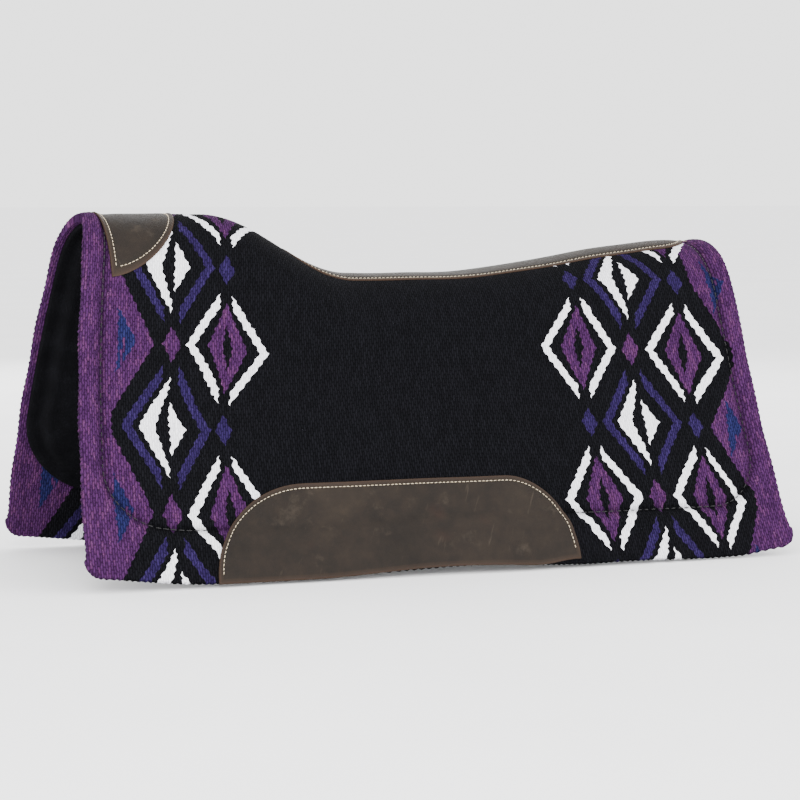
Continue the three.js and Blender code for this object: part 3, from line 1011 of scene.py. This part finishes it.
def ridge_leathers():
    wither = leather_patch("wither_patch", wither_rows, 0, 26, True, ["wither_leather"])
    spine = leather_patch("spine_strip", spine_rows, 0, 16, True, ["spine_leather"])
    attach(wither, "ridge")
    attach(spine, "ridge")


def wear_leather(label):
    obj = leather_patch(
        f"wear_patch_{label}", wear_rows, SIDES[label], 20, False, [f"wear_leather_{label}"]
    )
    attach(obj, f"{label}_flap")


# ---- Stitching ----


STITCH_SIDES, STITCH_LIFT = 7, 0.0002

# Along a stitch, its height in thread diameters and its girth: both ends dive into a hole
STITCH_BOW = np.array([-0.72, -0.12, 0.28, 0.40, 0.28, -0.12, -0.72])
STITCH_GIRTH = np.array([0.45, 0.85, 1.0, 1.0, 1.0, 0.85, 0.45])


def stitched(name, routes, lift, slot_name, nodes, length=0.0038, gap=0.0007, radius=0.00046, seed=1):
    """Separate stitches along routes of surface points and outward normals, as one piece."""
    rng = np.random.default_rng(seed)
    count, last = STITCH_SIDES, len(STITCH_BOW) - 1
    turns = np.arange(count) / count * 2 * math.pi
    points, faces, uvs = [], [], []
    for line, normals in routes:
        travelled = np.concatenate([[0], np.cumsum(np.linalg.norm(np.diff(line, axis=0), axis=1))])
        for start in np.arange(gap, travelled[-1] - length, length + gap):
            jitter = rng.uniform(-0.0003, 0.0003, 3)
            stops = start + jitter[0] + np.linspace(0, length, last + 1)
            spine = np.stack([np.interp(stops, travelled, line[:, k]) for k in range(3)], -1)
            normal = np.stack([np.interp(stops, travelled, normals[:, k]) for k in range(3)], -1)
            normal /= np.linalg.norm(normal, axis=1, keepdims=True)
            tangent = np.gradient(spine, axis=0)
            tangent /= np.linalg.norm(tangent, axis=1, keepdims=True)
            sideways = np.cross(tangent, normal)
            spine = spine + normal * (lift + STITCH_BOW * radius * 2)[:, None]
            spine = spine + sideways * (jitter[1] * np.linspace(-1, 1, last + 1) * 0.8)[:, None]
            out, up = np.cos(turns)[None, :, None], np.sin(turns)[None, :, None]
            ring = out * sideways[:, None] + up * normal[:, None]
            body = spine[:, None] + ring * (radius * STITCH_GIRTH)[:, None, None]
            base = len(points)
            points.extend(body.reshape(-1, 3))
            uvs.extend([(stop, turn / count) for stop in stops for turn in range(count)])
            for i in range(last):
                for k in range(count):
                    a, b = base + i * count + k, base + i * count + (k + 1) % count
                    faces.append((a, b, b + count, a + count))
            faces.append(tuple(base + k for k in reversed(range(count))))
            faces.append(tuple(base + last * count + k for k in range(count)))
    obj = new_object(name, points, faces, uvs)
    face_outwards(obj)
    return finish_piece(obj, slot_name, *nodes)


def route(x, arc, side, height=0.0):
    """Surface points and outward normals along a line of cloth coordinates."""
    line = surface(x, arc, -height, side)
    above = surface(x, arc, -height - 0.001, side)
    normals = (above - line) / np.linalg.norm(above - line, axis=1, keepdims=True)
    return line, normals


def leather_route(row, side):
    """A line of stitching on a leather patch, from a row of its outline at the stitch inset."""
    x, arc = row
    height = on_blanket(x, arc, leather_height(x, arc, STITCH_INSET, 1.0), side)
    return route(x, np.abs(arc), side_of(arc, side), height)


def ridge_stitching():
    """The cream seams of both leathers on the ridge."""
    front, rear = [row[:, 2:-2] for row in wither_rows(STITCH_INSET)]
    routes = [leather_route(rear, 0), leather_route(front, 0)]
    nodes = ["wither_thread_rear", "wither_thread_front"]
    obj = stitched("wither_stitching", routes, STITCH_LIFT, "cream_thread", nodes, seed=2)
    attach(obj, "ridge")
    for label, row in zip(SIDES, spine_rows(STITCH_INSET)):
        name, nodes, seed = f"spine_stitching_{label}", [f"spine_thread_{label}"], 4 + SIDES[label]
        obj = stitched(name, [leather_route(row, 0)], STITCH_LIFT, "cream_thread", nodes, seed=seed)
        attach(obj, "ridge")
    thread_ends()


def thread_ends():
    """Two cut ends of the spine leather's thread, lying on the wool behind it."""
    share = np.linspace(0, 1, 30)
    routes = []
    side = SIDES["left"]
    for spread, reach in ((0.0050, 0.017), (0.0015, 0.012)):
        x = SPINE_LEATHER["rear"] - 0.0035 + reach * share
        arc = 0.0022 + spread * share ** 2
        on_leather = LEATHER * (1 - smooth(share, 0.12, 0.34))
        height = on_blanket(x, arc, on_leather + 0.0006, side)
        routes.append(route(x, arc, side, height))
    obj = stitched("thread_ends", routes, STITCH_LIFT, "cream_thread", [],
                   length=0.0105, radius=0.0004, seed=21)
    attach(obj, "ridge")


def wear_stitching(label):
    upper, _ = wear_rows(STITCH_INSET)
    routes = [leather_route(upper, SIDES[label])]
    name, nodes, seed = f"wear_stitching_{label}", [f"wear_thread_{label}"], 8 + SIDES[label]
    obj = stitched(name, routes, STITCH_LIFT, "cream_thread", nodes, seed=seed)
    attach(obj, f"{label}_flap")


def under_wear_leather(x, arc):
    """Whether places in the cloth lie under the wear leather."""
    above = arc_to_hem(x) - arc
    top = (WEAR_LEATHER["top"] - hem_z(x)) / math.cos(FLANK_ANGLE)
    rise = np.clip(above / top, 0, 1)
    pull = 1 - np.sqrt(1 - rise * rise)
    front = WEAR_LEATHER["front"] + WEAR_LEATHER["front_round"] * pull
    rear = WEAR_LEATHER["rear"] - WEAR_LEATHER["rear_round"] * pull
    return (x > front) & (x < rear) & (above < top)


def quilting_path(label):
    """The seam that sews the pad on, from the ridge line in front round to the ridge line behind."""
    down = np.linspace(0, 1, 160)
    along = np.linspace(0, 1, 300)
    ends = np.array([0.0, 1.0])
    end_x, end_arc, _, _ = panel(ends, down, SEAM[label])
    hem_x, hem_arc, _, _ = panel(along, ends, SEAM[label])
    x = np.concatenate([end_x[0], hem_x[1:-1, 1], end_x[1, ::-1]])
    return x, np.concatenate([end_arc[0], hem_arc[1:-1, 1], end_arc[1, ::-1]])


def quilting(label):
    """The dark stitches in the groove, as far as the wear leather on both sides of it."""
    side = SIDES[label]
    x, arc = quilting_path(label)
    hidden = under_wear_leather(x, arc)
    first, last = np.argmax(hidden), len(x) - np.argmax(hidden[::-1])
    height = blanket_swell(x, arc, label) - 0.0036
    parts = [slice(None, first - 2), slice(last + 2, None)]
    routes = [route(x[part], arc[part], side, height[part]) for part in parts]
    nodes = [f"quilting_thread_front_{label}", f"quilting_thread_rear_{label}"]
    obj = stitched(f"quilting_{label}", routes, 0.0, "black_thread", nodes,
                   length=0.0078, gap=0.0006, radius=0.00055, seed=12 + side)
    bend_with_flap(obj, label)


# ---- The whole pad ----

for label in SIDES:
    blanket = woven_blanket(label)
    lining = felt_lining(label)
    wear_leather(label)
    wear_stitching(label)
    quilting(label)
ridge_leathers()
ridge_stitching()


# ---- Studio: floor, light and camera ----


def add_floor():
    mesh = bpy.data.meshes.new("floor")
    far = 60.0
    corners = [(-far, -far, 0), (far, -far, 0), (far, far, 0), (-far, far, 0)]
    mesh.from_pydata(corners, [], [(0, 1, 2, 3)])
    mesh.materials.append(studio_floor())
    add_object("floor", mesh)


def add_light(name, place, target, size, power):
    light = bpy.data.lights.new(name, "AREA")
    light.shape, light.size, light.energy = "DISK", size, power
    obj = add_object(name, light)
    obj.location = place
    direction = Vector(target) - Vector(place)
    obj.rotation_euler = direction.to_track_quat("-Z", "Y").to_euler()


def add_world():
    world = bpy.data.worlds.new("studio")
    world.use_nodes = True
    background = world.node_tree.nodes["Background"]
    background.inputs["Color"].default_value = (1, 1, 1, 1)
    background.inputs["Strength"].default_value = 2.5
    bpy.context.scene.world = world


CAMERA_AZIMUTH, CAMERA_ELEVATION = math.radians(-21.16), math.radians(4.48)
CAMERA_DISTANCE, CAMERA_LENS, SENSOR = 3.0, 120.4, 36.0
TARGET_AHEAD, TARGET_Z = 0.0044, 0.1714


def add_camera():
    low, high = cad_bounds
    target = Vector(((low.x + high.x) / 2 + TARGET_AHEAD, 0, TARGET_Z))
    level = math.cos(CAMERA_ELEVATION)
    toward = Vector((
        math.sin(CAMERA_AZIMUTH) * level, -math.cos(CAMERA_AZIMUTH) * level, math.sin(CAMERA_ELEVATION),
    ))
    data = bpy.data.cameras.new("camera")
    data.lens, data.sensor_width = CAMERA_LENS, SENSOR
    camera = add_object("camera", data)
    camera.location = target + toward * CAMERA_DISTANCE
    camera.rotation_euler = (-toward).to_track_quat("-Z", "Y").to_euler()
    bpy.context.scene.camera = camera


add_floor()
add_world()
middle = (0, 0, 0.2)
add_light("key", (-1.5, -3.0, 1.5), middle, 1.8, 130)
add_light("fill", (2.4, -2.6, 0.9), middle, 2.2, 60)
add_light("rear", (0.6, 2.8, 1.6), middle, 2.4, 60)
add_camera()
